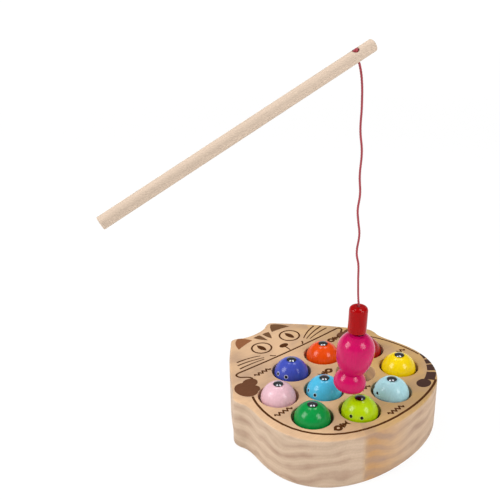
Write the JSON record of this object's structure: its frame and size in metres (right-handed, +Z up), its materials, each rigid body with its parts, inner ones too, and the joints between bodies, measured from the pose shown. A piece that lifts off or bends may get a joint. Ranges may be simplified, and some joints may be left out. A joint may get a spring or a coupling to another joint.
{
  "type": "magnetic fishing game",
  "caption": "Cat-shaped wooden block with round pockets that hold turned fish with steel noses, and a rod whose cord carries a magnet lure that lifts the fish out.",
  "frame": {"origin": "on the block's flat underside, below the centre of the pocket field", "axes": "+Z up, +Y towards the cat's head, +X to the right seen from above with the head up"},
  "size_m": [0.2589, 0.1661, 0.2974],
  "materials": {
    "pine": "sanded pine, clear matt",
    "orange_lacquer": "gloss lacquer",
    "indigo_lacquer": "gloss lacquer",
    "light_pink_lacquer": "gloss lacquer",
    "red_lacquer": "gloss lacquer",
    "sky_blue_lacquer": "gloss lacquer",
    "magenta_lacquer": "gloss lacquer",
    "green_lacquer": "gloss lacquer",
    "yellow_lacquer": "gloss lacquer",
    "lime_lacquer": "gloss lacquer",
    "grey_blue_lacquer": "gloss lacquer",
    "nose_steel": "polished steel",
    "rod_wood": "bare sanded wood",
    "red_gloss": "gloss red",
    "magnet_nickel": "nickel plate",
    "red_cord": "braided cord"
  },
  "bodies": {
    "block": {"cat_block": "pine"},
    "orange_fish": {"fish_orange_body": "orange_lacquer", "fish_orange_nose": "nose_steel"},
    "indigo_fish": {"fish_indigo_body": "indigo_lacquer", "fish_indigo_nose": "nose_steel"},
    "light_pink_fish": {"fish_light_pink_body": "light_pink_lacquer", "fish_light_pink_nose": "nose_steel"},
    "red_fish": {"fish_red_body": "red_lacquer", "fish_red_nose": "nose_steel"},
    "sky_blue_fish": {"fish_sky_blue_body": "sky_blue_lacquer", "fish_sky_blue_nose": "nose_steel"},
    "magenta_fish": {"fish_magenta_body": "magenta_lacquer", "fish_magenta_nose": "nose_steel"},
    "green_fish": {"fish_green_body": "green_lacquer", "fish_green_nose": "nose_steel"},
    "yellow_fish": {"fish_yellow_body": "yellow_lacquer", "fish_yellow_nose": "nose_steel"},
    "lime_fish": {"fish_lime_body": "lime_lacquer", "fish_lime_nose": "nose_steel"},
    "grey_blue_fish": {"fish_grey_blue_body": "grey_blue_lacquer", "fish_grey_blue_nose": "nose_steel"},
    "rod": {"rod": "rod_wood", "rod_knot": "red_cord"},
    "line": {"cord": "red_cord", "lure_knot": "red_cord", "lure_capsule": "red_gloss", "lure_magnet": "magnet_nickel"}
  },
  "joints": [
    {"name": "orange_lift", "type": "slide", "parent": "block", "child": "orange_fish", "axis": [0, 0, 1], "range_m": [0, 0.04]},
    {"name": "indigo_lift", "type": "slide", "parent": "block", "child": "indigo_fish", "axis": [0, 0, 1], "range_m": [0, 0.04]},
    {"name": "light_pink_lift", "type": "slide", "parent": "block", "child": "light_pink_fish", "axis": [0, 0, 1], "range_m": [0, 0.04]},
    {"name": "red_lift", "type": "slide", "parent": "block", "child": "red_fish", "axis": [0, 0, 1], "range_m": [0, 0.04]},
    {"name": "sky_blue_lift", "type": "slide", "parent": "block", "child": "sky_blue_fish", "axis": [0, 0, 1], "range_m": [0, 0.04]},
    {"name": "green_lift", "type": "slide", "parent": "block", "child": "green_fish", "axis": [0, 0, 1], "range_m": [0, 0.04]},
    {"name": "yellow_lift", "type": "slide", "parent": "block", "child": "yellow_fish", "axis": [0, 0, 1], "range_m": [0, 0.04]},
    {"name": "grey_blue_lift", "type": "slide", "parent": "block", "child": "grey_blue_fish", "axis": [0, 0, 1], "range_m": [0, 0.04]},
    {"name": "lime_turn", "type": "hinge", "parent": "block", "child": "lime_fish", "pos_m": [-0.0175, -0.035, 0.0053], "axis": [0, 0, 1], "continuous": true},
    {"name": "rod_lift", "type": "slide", "parent": "block", "child": "rod", "axis": [0, 0, 1], "range_m": [0, 0.12]},
    {"name": "line_swing", "type": "hinge", "parent": "rod", "child": "line", "pos_m": [-0.02328, -0.02811, 0.28473], "axis": [0.6521, 0.7581, 0], "range_deg": [-20, 20]},
    {"name": "catch_slide", "type": "slide", "parent": "line", "child": "magenta_fish", "axis": [-0.6521, -0.7581, 0], "range_m": [0, 0.03]}
  ]
}
